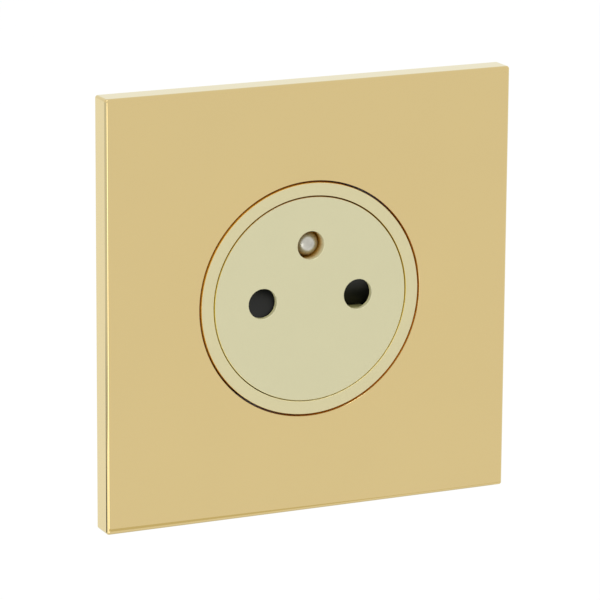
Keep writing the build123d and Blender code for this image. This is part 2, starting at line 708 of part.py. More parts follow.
def main():
    """Builds every piece and writes it upright to parts/."""
    pieces = {
        "cover_plate": make_cover_plate(),
        "plate_liner": make_plate_liner(),
        "support_frame": make_support_frame(),
        "trim_ring": make_trim_ring(),
        "well_housing": make_well_housing(),
        "face_disc": make_face_disc(),
        "shutter_base": make_shutter_base(),
        "face_screws": make_face_screws(),
        "shutter": make_shutter(),
        "shutter_spring": make_shutter_spring(),
        "contact_block": make_contact_block(),
        "rear_cover": make_rear_cover(),
        "line_contact": make_live_contact(POLES["line"][0]),
        "neutral_contact": make_live_contact(POLES["neutral"][0]),
        "earth_strap": make_earth_strap(POLES["earth"][0]),
        "earth_pin": make_earth_pin(),
        "terminal_screws": make_terminal_screws(),
        "housing_screws": make_housing_screws(),
        "return_spring": make_return_spring(),
    }
    for pole, (angle, _) in POLES.items():
        pieces[pole + "_terminal"] = make_terminal(angle)
    os.makedirs("parts", exist_ok=True)
    for name, shape in pieces.items():
        solids = shape if isinstance(shape, list) else shape.solids()
        upright = Compound([STAND_UP * solid for solid in solids])
        export_step(upright, os.path.join("parts", name + ".step"))


main()
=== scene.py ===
import math

import bmesh
import bpy
from bpy.props import FloatProperty, FloatVectorProperty, IntProperty, PointerProperty
from mathutils import Matrix, Vector


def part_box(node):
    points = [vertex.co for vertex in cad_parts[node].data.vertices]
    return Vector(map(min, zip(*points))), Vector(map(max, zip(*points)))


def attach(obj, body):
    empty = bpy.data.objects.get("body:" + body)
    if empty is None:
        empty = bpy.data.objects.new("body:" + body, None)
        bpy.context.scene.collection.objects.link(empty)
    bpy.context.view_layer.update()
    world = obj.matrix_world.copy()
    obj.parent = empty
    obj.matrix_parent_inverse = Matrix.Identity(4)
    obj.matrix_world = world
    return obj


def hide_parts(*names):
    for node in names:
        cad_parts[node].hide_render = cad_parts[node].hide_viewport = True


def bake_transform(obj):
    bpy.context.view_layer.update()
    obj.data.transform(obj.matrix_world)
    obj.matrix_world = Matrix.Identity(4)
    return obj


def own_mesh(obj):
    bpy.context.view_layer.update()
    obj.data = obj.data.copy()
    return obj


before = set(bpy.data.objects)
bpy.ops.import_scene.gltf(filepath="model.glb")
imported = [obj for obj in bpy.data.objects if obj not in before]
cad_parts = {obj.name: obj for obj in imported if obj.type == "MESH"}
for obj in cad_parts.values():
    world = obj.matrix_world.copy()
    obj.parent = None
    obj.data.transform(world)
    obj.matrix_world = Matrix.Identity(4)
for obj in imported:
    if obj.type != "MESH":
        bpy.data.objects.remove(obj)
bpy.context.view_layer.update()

bl_info = {
    "name": "Wall socket",
    "version": (1, 0, 0),
    "blender": (4, 5, 0),
    "location": "View3D > Sidebar > Wall socket",
    "description": "Dresses the flush wall socket and sets its stage",
    "category": "Object",
}

MM = 0.001

# What the frame says of the pieces that are dressed, in metres
PLATE_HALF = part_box("cover_plate")[1].x
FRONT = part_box("cover_plate")[0].y
RING_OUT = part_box("trim_ring")[1].x
RING_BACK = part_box("trim_ring")[1].y
FACE_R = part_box("face_disc")[1].x
FACE_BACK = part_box("face_disc")[1].y
SPRING_LOW, SPRING_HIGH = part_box("return_spring")
HAIRPIN_LOW, HAIRPIN_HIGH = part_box("shutter_spring")

# How finely meshes are divided
EDGE_STEPS = 12
CORNER_STEPS = 12
SIDE_STEPS = 36
ROUND_STEPS = 192
WIRE_SIDES = 16
COIL_STEPS = 48
HAIRPIN_STEPS = 32
THREAD_SIDES = 36
THREAD_ROWS = 8
LEAST_ROWS = 4
# Edges that turn by more than this stay sharp, and points nearer than this become one
SHARP_ANGLE = math.radians(35)
WELD = 1e-7

# Body and sizes of each kind of screw: head across, head height, shank across, shank length and pitch in mm
SCREWS = {
    "housing": ("socket", (5.2, 1.2, 2.6, 17.0, 1.1)),
    "terminal": ("socket", (5.4, 1.9, 3.4, 2.3, 0.6)),
    "face": ("face", (3.8, 1.0, 1.7, 3.6, 0.6)),
}
# Half the width of a screw's slot
SLOT_HALF = 0.4 * MM
# Slot floor and bevel as shares of the head's height, and the thread's depth as a share of its pitch
SLOT_FLOOR = 0.45
HEAD_BEVEL = 0.2
THREAD_DEPTH = 0.3

# Rise of a spring's shut turn, as a share of its wire
SHUT_RISE = 1.02

# How deep the sprayed flake reaches in the pin holes, in the earth hole and in the gaps round the rim
PIN_SPRAY = 1.6 * MM
EARTH_SPRAY = 2.9 * MM
GAP_SPRAY = 0.012 * MM
# Of the three holes only the earth hole lies above this height
EARTH_FOOT = 6 * MM
# Shares of the face's radius: the holes end before the first, and past the second lies the rim
HOLES_END = 0.8
RIM_START = 0.95
# Y of a surface's normal: below the first it faces front, and above the second it counts as a wall
FACES_FRONT = -0.99
IS_WALL = -0.93

# Width of buffing marks and of other working marks, as a share of their length
BUFF_SHARE = 0.04
MARK_SHARE = 0.06

# Sockets of the Mix node by number, because several share a name
FACTOR, FLOAT_A, FLOAT_B, COLOUR_A, COLOUR_B = 0, 2, 3, 6, 7
FLOAT_OUT, COLOUR_OUT = 0, 2

# Strength of the even light from all round, which neither the camera nor a mirror sees
AMBIENT = 0.62
# Width of the floor in metres
FLOOR_SIZE = 12
# Share of the floor that the camera sees as a plain glow, which is a little over 1: open floor is white
FLOOR_SHARE = 0.88
FLOOR_GLOW = 1.06
# Colours of the stage's light and cards
WHITE = "#FFFFFF"
COOL = "#EAF2FF"
CREAM = "#E8E2C8"
# Between these shares of its height a mirror card's foot is graded, and over this share of its width a side
FOOT_FROM, FOOT_TO = 0.22, 0.55
SIDE_FADE = 0.35


def linear(hex_colour):
    """An sRGB hex colour as linear red, green and blue."""
    channels = [int(hex_colour[i:i + 2], 16) / 255 for i in (1, 3, 5)]
    return tuple(c / 12.92 if c <= 0.04045 else ((c + 0.055) / 1.055) ** 2.4 for c in channels)


def length(label, words, default_mm):
    """A length property, given in millimetres."""
    return FloatProperty(name=label, description=words, default=default_mm * MM, unit="LENGTH", precision=5)


def degrees(label, words, default_deg):
    """An angle property, given in degrees."""
    return FloatProperty(name=label, description=words, default=math.radians(default_deg), subtype="ANGLE")


def colour(label, words, hex_colour):
    """A colour property, given as an sRGB hex value."""
    return FloatVectorProperty(
        name=label, description=words, default=linear(hex_colour), subtype="COLOR", size=3, min=0, max=1
    )


class PlateSettings(bpy.types.PropertyGroup):
    """Sizes and finish of the cover plate."""
    edge_round: length("Front edge", "Radius of the polished front edge", 0.65)
    corner_round: length("Corners", "Radius of the plate's four corners", 0.5)
    skin: length("Skin", "Thickness of the plate's front", 1.3)
    rim: length("Rim", "Thickness of the plate's sides", 1.6)
    bore_gap: length("Bore gap", "Gap between the bore and the trim ring", 0.38)
    bore_round: length("Bore edge", "Radius of the bore's front edge", 0.12)
    collar_wall: length("Collar", "Wall of the collar behind the bore", 1.4)
    collar_depth: length("Collar depth", "Depth of the bore from the front", 2.3)
    brass: colour("Brass", "Polished brass under its lacquer", "#D4BC7F")
    grazing: colour("Grazing brass", "Tint of the brass at a grazing angle", "#FCFFE7")
    pooled: colour("Pooled lacquer", "Lacquer that ran into the bore and browned", "#E29A14")


class FaceSettings(bpy.types.PropertyGroup):
    """Sizes and finish of the trim ring and the face."""
    ring_gap: length("Face gap", "Gap between the trim ring and the face", 0.2)
    ring_round: length("Ring edge", "Radius of the trim ring's front edges", 0.08)
    sleeve_in: length("Sleeve", "Inner radius of the ring's sleeve", 20.38)
    snap_width: length("Snap width", "Width of each snap bump on the sleeve", 5.0)
    snap_height: length("Snap height", "Height of each snap bump, along the axis", 1.5)
    snap_bite: length("Snap bite", "How far each snap bump stands out", 0.45)
    champagne: colour("Champagne", "Satin metallised face", "#D6D1AA")
    ring_champagne: colour("Ring champagne", "Satin metallised ring", "#D9D0A4")
    straw: colour("Straw", "Thin spray in the pin holes", "#D4CE8C")
    ochre: colour("Ochre", "Bare moulding in the earth hole", "#DC9E1C")
    # Face gap by height: pale at the foot is painted light, umber at the top painted shade, gold the walls'
    # own colour
    pale: colour("Pale", "Full spray at the foot of the face gap", "#F3E9B2")
    gold: colour("Gold", "Thin spray at both sides of the face gap", "#DEC43A")
    umber: colour("Umber", "Bare moulding at the top of the face gap", "#9A6A08")
    amber: colour("Amber", "Bare moulding round the ring", "#DAA42C")
    nickel: colour("Nickel", "Plated earth pin", "#C8C5BA")
    shutter_black: colour("Shutter black", "Moulded safety shutter", "#10110C")


class WireSettings(bpy.types.PropertyGroup):
    """Sizes and finish of the springs and screws."""
    return_wire: length("Return wire", "Wire of the return spring", 0.9)
    return_turns: IntProperty(
        name="Return turns", description="Turns of the return spring", default=7, min=3
    )
    closed_turns: FloatProperty(
        name="Closed turns", description="Turns that lie shut at each end", default=0.9
    )
    hairpin_wire: length("Hairpin wire", "Wire of the shutter's spring", 0.5)
    hairpin_short: length("Short leg", "Reach of the hairpin's short leg", 6.0)
    steel: colour("Spring steel", "Bright drawn wire", "#8C8B88")
    zinc: colour("Zinc", "Zinc plating on frame and screws", "#B9BCBD")


class InsideSettings(bpy.types.PropertyGroup):
    """Finishes of the parts behind the plate."""
    grey: colour("Grey moulding", "Well housing and rear cover", "#A6A8A9")
    ivory: colour("Ivory moulding", "Contact block", "#DAD3C2")
    black: colour("Black moulding", "Plate liner and the face's floor", "#232323")
    bronze: colour("Bronze", "Sprung contacts", "#C08B58")
    brass: colour("Plain brass", "Terminals and earth strap", "#CFAE66")


class StageSettings(bpy.types.PropertyGroup):
    """Camera and floor."""
    yaw: degrees("Yaw", "How far left the camera stands", 24.83)
    pitch: degrees("Pitch", "How far above the camera stands", 14.26)
    roll: degrees("Roll", "Turn of the camera about its own axis", 0.39)
    distance: length("Distance", "From the camera to its target", 750.5)
    target: FloatVectorProperty(
        name="Target", description="Where the camera looks", size=3, subtype="TRANSLATION",
        default=(0.08 * MM, 0, -1.30 * MM),
    )
    lens: FloatProperty(name="Lens", description="Focal length in millimetres", default=246.46)
    floor_drop: length("Floor", "How far the floor lies below the plate", 260)
    floor: colour("Floor colour", "Pale floor", "#F2F2F2")


def add(tree, kind, inputs=(), **settings):
    """Adds a node with its settings. Inputs are values, or sockets to link."""
    node = tree.nodes.new(kind)
    for name, value in settings.items():
        setattr(node, name, value)
    for name, value in dict(inputs).items():
        if isinstance(value, bpy.types.NodeSocket):
            tree.links.new(value, node.inputs[name])
        else:
            node.inputs[name].default_value = value
    return node


def shade(rgb, share):
    """A colour made lighter or darker by a share, with full opacity."""
    return (*(channel * share for channel in rgb), 1)


def per_metre(size_mm):
    """Scale of a pattern whose features are that many millimetres across."""
    return 1000 / size_mm


def start(name):
    """A new material, its node tree and shader, and the piece's own coordinates in metres."""
    made = bpy.data.materials.new(name)
    made.use_nodes = True
    tree = made.node_tree
    coords = add(tree, "ShaderNodeTexCoord").outputs["Object"]
    return made, tree, tree.nodes["Principled BSDF"], coords


def join(tree, shader, **inputs):
    """Sets or links the shader's inputs, whose names have _ for each space."""
    for name, value in inputs.items():
        socket = shader.inputs[name.replace("_", " ")]
        if isinstance(value, bpy.types.NodeSocket):
            tree.links.new(value, socket)
        else:
            socket.default_value = value


def off_axis(tree, coords):
    """How far a point lies from the socket's axis."""
    across = add(tree, "ShaderNodeVectorMath", {0: coords, 1: (1, 0, 1)}, operation="MULTIPLY").outputs[0]
    return add(tree, "ShaderNodeVectorMath", {0: across}, operation="LENGTH").outputs["Value"]


def polished_brass(plate):
    """Brass, machine polished and lacquered.

    That gives a clear mirror with a faint haze, and amber where lacquer pooled in the bore.
    """
    made, tree, shader, coords = start("Brass, polished and lacquered")
    rgb = plate.brass
    clouds = add(tree, "ShaderNodeTexNoise", {"Vector": coords, "Scale": per_metre(16), "Detail": 2})
    tone = add(tree, "ShaderNodeMix", {
        FACTOR: clouds.outputs["Fac"], COLOUR_A: shade(rgb, 0.985), COLOUR_B: shade(rgb, 1.015),
    }, data_type="RGBA")
    # Buffing marks run across the plate. Real ones are under 0.05 mm apart, so they are drawn coarser
    stretched = add(tree, "ShaderNodeMapping", {"Vector": coords, "Scale": (BUFF_SHARE, 1, 1)})
    marks = add(tree, "ShaderNodeTexNoise", {
        "Vector": stretched.outputs["Vector"], "Scale": per_metre(0.35), "Detail": 3,
    })
    haze = add(tree, "ShaderNodeMapRange", {"Value": marks.outputs["Fac"], "To Min": 0.05, "To Max": 0.11})
    # Lacquer levels out to a slight orange peel, about 1.2 mm across
    peel = add(tree, "ShaderNodeTexNoise", {"Vector": coords, "Scale": per_metre(1.2), "Detail": 1})
    bump = add(tree, "ShaderNodeBump", {
        "Height": peel.outputs["Fac"], "Strength": 0.25, "Distance": 0.0012 * MM,
    })
    # The polishing wheel misses the bore's wall, where the lacquer lies thick and dull
    near = add(tree, "ShaderNodeMapRange", {
        "Value": off_axis(tree, coords),
        "From Min": RING_OUT + 2 * plate.bore_gap,
        "From Max": RING_OUT + plate.bore_gap,
    })
    depth = add(tree, "ShaderNodeSeparateXYZ", {"Vector": coords}).outputs["Y"]
    deep = add(tree, "ShaderNodeMapRange", {
        "Value": depth,
        "From Min": FRONT + plate.bore_round / 2,
        "From Max": FRONT + plate.bore_round * 1.5,
    })
    pool = add(tree, "ShaderNodeMath", {
        0: near.outputs["Result"], 1: deep.outputs["Result"],
    }, operation="MULTIPLY").outputs[0]
    coat = add(tree, "ShaderNodeMix", {
        FACTOR: pool, COLOUR_A: tone.outputs[COLOUR_OUT], COLOUR_B: shade(plate.pooled, 1),
    }, data_type="RGBA")
    metal = add(tree, "ShaderNodeMapRange", {"Value": pool, "To Min": 1.0, "To Max": 0.0})
    rough = add(tree, "ShaderNodeMix", {FACTOR: pool, FLOAT_A: haze.outputs["Result"], FLOAT_B: 0.5})
    join(
        tree, shader, Base_Color=coat.outputs[COLOUR_OUT], Metallic=metal.outputs["Result"],
        Roughness=rough.outputs[FLOAT_OUT], Normal=bump.outputs["Normal"], Coat_Weight=1.0,
        Coat_Roughness=0.03, Specular_Tint=shade(plate.grazing, 1),
    )
    return made


def bare_moulding(tree, face, radius, height, earth, rim):
    """Colour of the moulding where the spray has thinned out.

    It is straw in the pin holes, ochre in the earth hole and amber outside the ring. Round the face the
    walls of the gap run from pale at the foot through gold to umber at the top: painted light and painted
    shade.
    """
    hole = add(tree, "ShaderNodeMix", {
        FACTOR: earth, COLOUR_A: shade(face.straw, 1), COLOUR_B: shade(face.ochre, 1),
    }, data_type="RGBA")
    # Graded by height: the pale foot of the face gap is painted light and its umber top is painted shade
    share = add(tree, "ShaderNodeMapRange", {"Value": height, "From Min": -FACE_R, "From Max": FACE_R})
    gap_gold_and_painted_light = add(tree, "ShaderNodeValToRGB", {"Fac": share.outputs["Result"]})
    gap_gold_and_painted_light.color_ramp.elements.new(0.5)
    for stop, tint in zip(gap_gold_and_painted_light.color_ramp.elements, (face.pale, face.gold, face.umber)):
        stop.color = shade(tint, 1)
    outside = add(tree, "ShaderNodeMapRange", {"Value": radius, "From Min": FACE_R, "From Max": RING_OUT})
    gap = add(tree, "ShaderNodeMix", {
        FACTOR: outside.outputs["Result"], COLOUR_A: gap_gold_and_painted_light.outputs["Color"], COLOUR_B: shade(face.amber, 1),
    }, data_type="RGBA")
    return add(tree, "ShaderNodeMix", {
        FACTOR: rim, COLOUR_A: hole.outputs[COLOUR_OUT], COLOUR_B: gap.outputs[COLOUR_OUT],
    }, data_type="RGBA").outputs[COLOUR_OUT]


def champagne(rgb, face, name):
    """Moulded plastic, sprayed from the front with fine metal flake.

    That gives a satin sheen, and on inner walls the bare yellow to brown of the moulding.
    """
    made, tree, shader, coords = start(name)
    # Flakes are about 0.03 mm, so they are drawn five times as coarse
    flakes = add(tree, "ShaderNodeTexVoronoi", {"Vector": coords, "Scale": per_metre(0.15)})
    spark = add(tree, "ShaderNodeMapRange", {"Value": flakes.outputs["Distance"], "From Max": 0.7})
    clouds = add(tree, "ShaderNodeTexNoise", {"Vector": coords, "Scale": per_metre(9), "Detail": 2})
    grain = add(tree, "ShaderNodeMix", {
        FACTOR: 0.35, FLOAT_A: clouds.outputs["Fac"], FLOAT_B: spark.outputs["Result"],
    })
    tone = add(tree, "ShaderNodeMix", {
        FACTOR: grain.outputs[FLOAT_OUT], COLOUR_A: shade(rgb, 1.02), COLOUR_B: shade(rgb, 0.975),
    }, data_type="RGBA")
    # On walls the spray thins out with depth, and soonest in the gaps round the rim
    radius = off_axis(tree, coords)
    rim = add(tree, "ShaderNodeMapRange", {
        "Value": radius, "From Min": HOLES_END * FACE_R, "From Max": RIM_START * FACE_R,
    }).outputs["Result"]
    place = add(tree, "ShaderNodeSeparateXYZ", {"Vector": coords})
    earth = add(tree, "ShaderNodeMath", {
        0: place.outputs["Z"], 1: EARTH_FOOT,
    }, operation="GREATER_THAN").outputs[0]
    hole_end = add(tree, "ShaderNodeMapRange", {
        "Value": earth, "To Min": FRONT + PIN_SPRAY, "To Max": FRONT + EARTH_SPRAY,
    })
    spray_end = add(tree, "ShaderNodeMapRange", {
        "Value": rim, "To Min": hole_end.outputs["Result"], "To Max": FRONT + GAP_SPRAY,
    })
    deep = add(tree, "ShaderNodeMapRange", {
        "Value": place.outputs["Y"], "From Min": FRONT, "From Max": spray_end.outputs["Result"],
    }, interpolation_type="SMOOTHSTEP")
    normal = add(tree, "ShaderNodeTexCoord").outputs["Normal"]
    facing = add(tree, "ShaderNodeSeparateXYZ", {"Vector": normal}).outputs["Y"]
    wall = add(tree, "ShaderNodeMapRange", {"Value": facing, "From Min": FACES_FRONT, "From Max": IS_WALL})
    bare = add(tree, "ShaderNodeMath", {
        0: deep.outputs["Result"], 1: wall.outputs["Result"],
    }, operation="MULTIPLY").outputs[0]
    inner = bare_moulding(tree, face, radius, place.outputs["Z"], earth, rim)
    coat = add(tree, "ShaderNodeMix", {
        FACTOR: bare, COLOUR_A: tone.outputs[COLOUR_OUT], COLOUR_B: inner,
    }, data_type="RGBA")
    metal = add(tree, "ShaderNodeMapRange", {
        "Value": wall.outputs["Result"], "To Min": 0.55, "To Max": 0.0,
    })
    satin = add(tree, "ShaderNodeMapRange", {
        "Value": spark.outputs["Result"], "To Min": 0.34, "To Max": 0.42,
    })
    bump = add(tree, "ShaderNodeBump", {
        "Height": flakes.outputs["Distance"], "Strength": 0.15, "Distance": 0.004 * MM,
    })
    join(
        tree, shader, Base_Color=coat.outputs[COLOUR_OUT], Metallic=metal.outputs["Result"],
        Roughness=satin.outputs["Result"], Normal=bump.outputs["Normal"],
    )
    return made


def moulding(rgb, name, ior, gloss, texture_mm, depth_mm, fleck):
    """Moulded plastic.

    That gives the fine sparked texture of its mould, and slight flow marks in its colour.
    """
    made, tree, shader, coords = start(name)
    sparked = add(tree, "ShaderNodeTexNoise", {
        "Vector": coords, "Scale": per_metre(texture_mm), "Detail": 4, "Roughness": 0.6,
    })
    flow = add(tree, "ShaderNodeTexNoise", {
        "Vector": coords, "Scale": per_metre(11), "Detail": 2, "Distortion": 0.6,
    })
    mixed = add(tree, "ShaderNodeMix", {
        FACTOR: 0.4, FLOAT_A: flow.outputs["Fac"], FLOAT_B: sparked.outputs["Fac"],
    })
    tone = add(tree, "ShaderNodeMix", {
        FACTOR: mixed.outputs[FLOAT_OUT], COLOUR_A: shade(rgb, 1 + fleck), COLOUR_B: shade(rgb, 1 - fleck),
    }, data_type="RGBA")
    rough = add(tree, "ShaderNodeMapRange", {
        "Value": sparked.outputs["Fac"], "To Min": gloss - 0.06, "To Max": gloss + 0.06,
    })
    bump = add(tree, "ShaderNodeBump", {
        "Height": sparked.outputs["Fac"], "Strength": 0.5, "Distance": depth_mm * MM,
    })
    join(
        tree, shader, Base_Color=tone.outputs[COLOUR_OUT], Roughness=rough.outputs["Result"], IOR=ior,
        Normal=bump.outputs["Normal"],
    )
    return made


def plated_zinc(rgb):
    """Steel, pressed and zinc plated.

    That gives a soft grey sheen, clouded and a little blue.
    """
    made, tree, shader, coords = start("Steel, zinc plated")
    clouds = add(tree, "ShaderNodeTexNoise", {"Vector": coords, "Scale": per_metre(5), "Detail": 4})
    blued = (rgb[0] * 0.90, rgb[1] * 0.95, rgb[2], 1)
    tone = add(tree, "ShaderNodeMix", {
        FACTOR: clouds.outputs["Fac"], COLOUR_A: shade(rgb, 1.05), COLOUR_B: blued,
    }, data_type="RGBA")
    crystals = add(tree, "ShaderNodeTexVoronoi", {"Vector": coords, "Scale": per_metre(0.5)})
    rough = add(tree, "ShaderNodeMapRange", {
        "Value": crystals.outputs["Distance"], "To Min": 0.28, "To Max": 0.42,
    })
    bump = add(tree, "ShaderNodeBump", {
        "Height": crystals.outputs["Distance"], "Strength": 0.2, "Distance": 0.006 * MM,
    })
    join(
        tree, shader, Base_Color=tone.outputs[COLOUR_OUT], Metallic=1.0, Roughness=rough.outputs["Result"],
        Normal=bump.outputs["Normal"],
    )
    return made


def worked_metal(rgb, name, along, mark_mm, gloss, cloud_mm=4, tarnish=0.1):
    """Bare or plated metal, drawn, rolled, turned or cut along one axis.

    That gives fine marks along that axis, and a clouded tarnish.
    """
    made, tree, shader, coords = start(name)
    stretch = [1.0, 1.0, 1.0]
    stretch[along] = MARK_SHARE
    stretched = add(tree, "ShaderNodeMapping", {"Vector": coords, "Scale": stretch})
    lines = add(tree, "ShaderNodeTexNoise", {
        "Vector": stretched.outputs["Vector"], "Scale": per_metre(mark_mm), "Detail": 4,
    })
    clouds = add(tree, "ShaderNodeTexNoise", {"Vector": coords, "Scale": per_metre(cloud_mm), "Detail": 3})
    tone = add(tree, "ShaderNodeMix", {
        FACTOR: clouds.outputs["Fac"],
        COLOUR_A: shade(rgb, 1 + tarnish / 2),
        COLOUR_B: shade(rgb, 1 - tarnish),
    }, data_type="RGBA")
    rough = add(tree, "ShaderNodeMapRange", {
        "Value": lines.outputs["Fac"], "To Min": gloss - 0.08, "To Max": gloss + 0.1,
    })
    bump = add(tree, "ShaderNodeBump", {
        "Height": lines.outputs["Fac"], "Strength": 0.3, "Distance": 0.004 * MM,
    })
    join(
        tree, shader, Base_Color=tone.outputs[COLOUR_OUT], Metallic=1.0, Roughness=rough.outputs["Result"],
        Normal=bump.outputs["Normal"],
    )
    return made


def paint(finish, *nodes):
    """Gives CAD nodes a finish."""
    for node in nodes:
        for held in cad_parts[node].material_slots:
            held.material = finish


def pointing(direction, axis="Z", up="Y"):
    """A rotation that points an object's axis in a direction."""
    return Vector(direction).to_track_quat(axis, up).to_matrix().to_4x4()


def outline(corners):
    """Points of a closed outline, one list for each (u, v, round) corner: a round corner becomes an arc."""
    spans = []
    for i, (u, v, radius) in enumerate(corners):
        here = Vector((u, v))
        if not radius:
            spans.append([here])
            continue
        back = (Vector(corners[i - 1][:2]) - here).normalized()
        ahead = (Vector(corners[(i + 1) % len(corners)][:2]) - here).normalized()
        half_angle = back.angle(ahead) / 2
        middle = here + (back + ahead).normalized() * (radius / math.sin(half_angle))
        reach = radius / math.tan(half_angle)
        first = here + back * reach - middle
        last = here + ahead * reach - middle
        spans.append([middle + first.slerp(last, k / EDGE_STEPS) * radius for k in range(EDGE_STEPS + 1)])
    return spans


def square_ring(half, corner, y):
    """A loop round a square with rounded corners, at depth y."""
    points = []
    inner = half - corner
    for quarter in range(4):
        turn = Matrix.Rotation(quarter * math.pi / 2, 2)
        for k in range(CORNER_STEPS + 1):
            angle = math.pi / 2 * k / CORNER_STEPS
            u = inner + corner * math.cos(angle)
            v = inner + corner * math.sin(angle)
            points.append(turn @ Vector((u, v)))
        for k in range(1, SIDE_STEPS):
            points.append(turn @ Vector((inner - 2 * inner * k / SIDE_STEPS, half)))
    return [Vector((p.x, y, p.y)) for p in points]


def around(count, first=0.0):
    """Angles spaced evenly round a circle, from a first one."""
    return [first + 2 * math.pi * k / count for k in range(count)]


def round_ring(radius, y, count, first=0.0):
    """A loop round a circle at depth y, starting at an angle."""
    return [Vector((radius * math.cos(t), y, radius * math.sin(t))) for t in around(count, first)]


def skin(mesh, rings, loop=False, capped=False):
    """Faces through rings of points. loop joins the last ring to the first, capped closes both ends."""
    rows = [[mesh.verts.new(point) for point in ring] for ring in rings]
    pairs = list(zip(rows, rows[1:]))
    if loop:
        pairs.append((rows[-1], rows[0]))
    for lower, upper in pairs:
        for i, corner in enumerate(lower):
            j = (i + 1) % len(lower)
            mesh.faces.new((corner, lower[j], upper[j], upper[i]))
    if capped:
        mesh.faces.new(rows[0])
        mesh.faces.new(rows[-1])


def piece(name, mesh, finish, body, slot, *nodes):
    """Makes a finished bmesh a piece. It stands for CAD nodes, and rides on a body if one is named."""
    bmesh.ops.remove_doubles(mesh, verts=mesh.verts, dist=WELD)
    bmesh.ops.recalc_face_normals(mesh, faces=mesh.faces)
    data = bpy.data.meshes.new(name)
    mesh.to_mesh(data)
    mesh.free()
    data.polygons.foreach_set("use_smooth", [True] * len(data.polygons))
    data.set_sharp_from_angle(angle=SHARP_ANGLE)
    data.materials.append(finish)
    made = bpy.data.objects.new(name, data)
    bpy.context.scene.collection.objects.link(made)
    weighted = made.modifiers.new("Flat faces stay flat", "WEIGHTED_NORMAL")
    weighted.keep_sharp = True
    if body:
        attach(made, body)
    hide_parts(*nodes)
    return made


def plate_mesh(plate):
    """The hollow plate: square outside, round bore, and a collar behind the bore."""
    bore = RING_OUT + plate.bore_gap
    collar = bore + plate.collar_wall
    collar_back = FRONT + plate.collar_depth
    back = FRONT + plate.skin
    pocket = PLATE_HALF - plate.rim
    foot_round = plate.edge_round / 8
    pocket_round = plate.edge_round / 2
    # Half width, depth and rounding at each corner of the section, and whether the plate is square there
    section = [
        (pocket, 0, 0, True),
        (PLATE_HALF, 0, foot_round, True),
        (PLATE_HALF, FRONT, plate.edge_round, True),
        (bore, FRONT, plate.bore_round, False),
        (bore, collar_back, 0, False),
        (collar, collar_back, 0, False),
        (collar, back, 0, False),
        (pocket, back, pocket_round, True),
    ]
    spans = outline([corner[:3] for corner in section])
    count = 4 * (CORNER_STEPS + SIDE_STEPS)
    first = math.pi / 4 - math.pi * CORNER_STEPS / count
    rings = []
    for (_, _, _, is_square), span in zip(section, spans):
        for size, y in span:
            if is_square:
                corner = max(plate.corner_round - (PLATE_HALF - size), 0)
                rings.append(square_ring(size, corner, y))
            else:
                rings.append(round_ring(size, y, count, first))
    mesh = bmesh.new()
    skin(mesh, rings, loop=True)
    bmesh.ops.dissolve_degenerate(mesh, dist=WELD, edges=mesh.edges)
    return mesh


def ring_mesh(face):
    """The trim ring with its sleeve and four snap bumps."""
    inner = FACE_R + face.ring_gap
    spans = outline([
        (inner, FRONT, face.ring_round),
        (RING_OUT, FRONT, face.ring_round),
        (RING_OUT, RING_BACK, 0),
        (face.sleeve_in, RING_BACK, 0),
        (face.sleeve_in, FACE_BACK, 0),
        (inner, FACE_BACK, 0),
    ])
    mesh = bmesh.new()
    skin(mesh, [round_ring(u, v, ROUND_STEPS) for span in spans for u, v in span], loop=True)
    depth = RING_OUT + face.snap_bite - face.sleeve_in
    for quarter in range(4):
        turn = Matrix.Rotation(math.pi / 4 + quarter * math.pi / 2, 4, "Y")
        middle = Matrix.Translation((face.sleeve_in + depth / 2, (RING_BACK + FACE_BACK) / 2, 0))
        size = Matrix.Diagonal((depth, face.snap_height, face.snap_width, 1))
        bmesh.ops.create_cube(mesh, matrix=turn @ middle @ size)
    return mesh


def wire_mesh(path, radius):
    """Round wire along a path of points, with flat ends."""
    last = len(path) - 1
    tangents = [(path[min(i + 1, last)] - path[max(i - 1, 0)]).normalized() for i in range(len(path))]
    across = tangents[0].orthogonal().normalized()
    turns = around(WIRE_SIDES)
    rings = []
    for i, (point, tangent) in enumerate(zip(path, tangents)):
        if i:
            across = tangents[i - 1].rotation_difference(tangent) @ across
        other = tangent.cross(across)
        rings.append([point + (across * math.cos(t) + other * math.sin(t)) * radius for t in turns])
    mesh = bmesh.new()
    skin(mesh, rings, capped=True)
    return mesh


def coil_path(wire):
    """Centre line of the return spring: shut turns at both ends and an even rise between."""
    thick = wire.return_wire
    radius = SPRING_HIGH.x - thick / 2
    bottom = SPRING_LOW.y + thick / 2
    rise = SPRING_HIGH.y - SPRING_LOW.y - thick
    shut = wire.closed_turns
    turns = wire.return_turns
    shut_rise = shut * thick * SHUT_RISE
    points = []
    steps = turns * COIL_STEPS
    for k in range(steps + 1):
        turn = turns * k / steps
        if turn < shut:
            y = turn / shut * shut_rise
        elif turn > turns - shut:
            y = rise - (turns - turn) / shut * shut_rise
        else:
            y = shut_rise + (turn - shut) / (turns - 2 * shut) * (rise - 2 * shut_rise)
        angle = 2 * math.pi * turn
        points.append(Vector((radius * math.cos(angle), bottom + y, radius * math.sin(angle))))
    return points


def hairpin_path(wire):
    """Centre line of the shutter's spring: a long leg, half a turn and a short leg."""
    radius = HAIRPIN_HIGH.z - wire.hairpin_wire / 2
    y = (HAIRPIN_LOW.y + HAIRPIN_HIGH.y) / 2
    points = [Vector((HAIRPIN_HIGH.x, y, radius))]
    for k in range(HAIRPIN_STEPS + 1):
        angle = math.pi / 2 + math.pi * k / HAIRPIN_STEPS
        points.append(Vector((radius * math.cos(angle), y, radius * math.sin(angle))))
    points.append(Vector((wire.hairpin_short, y, -radius)))
    return points


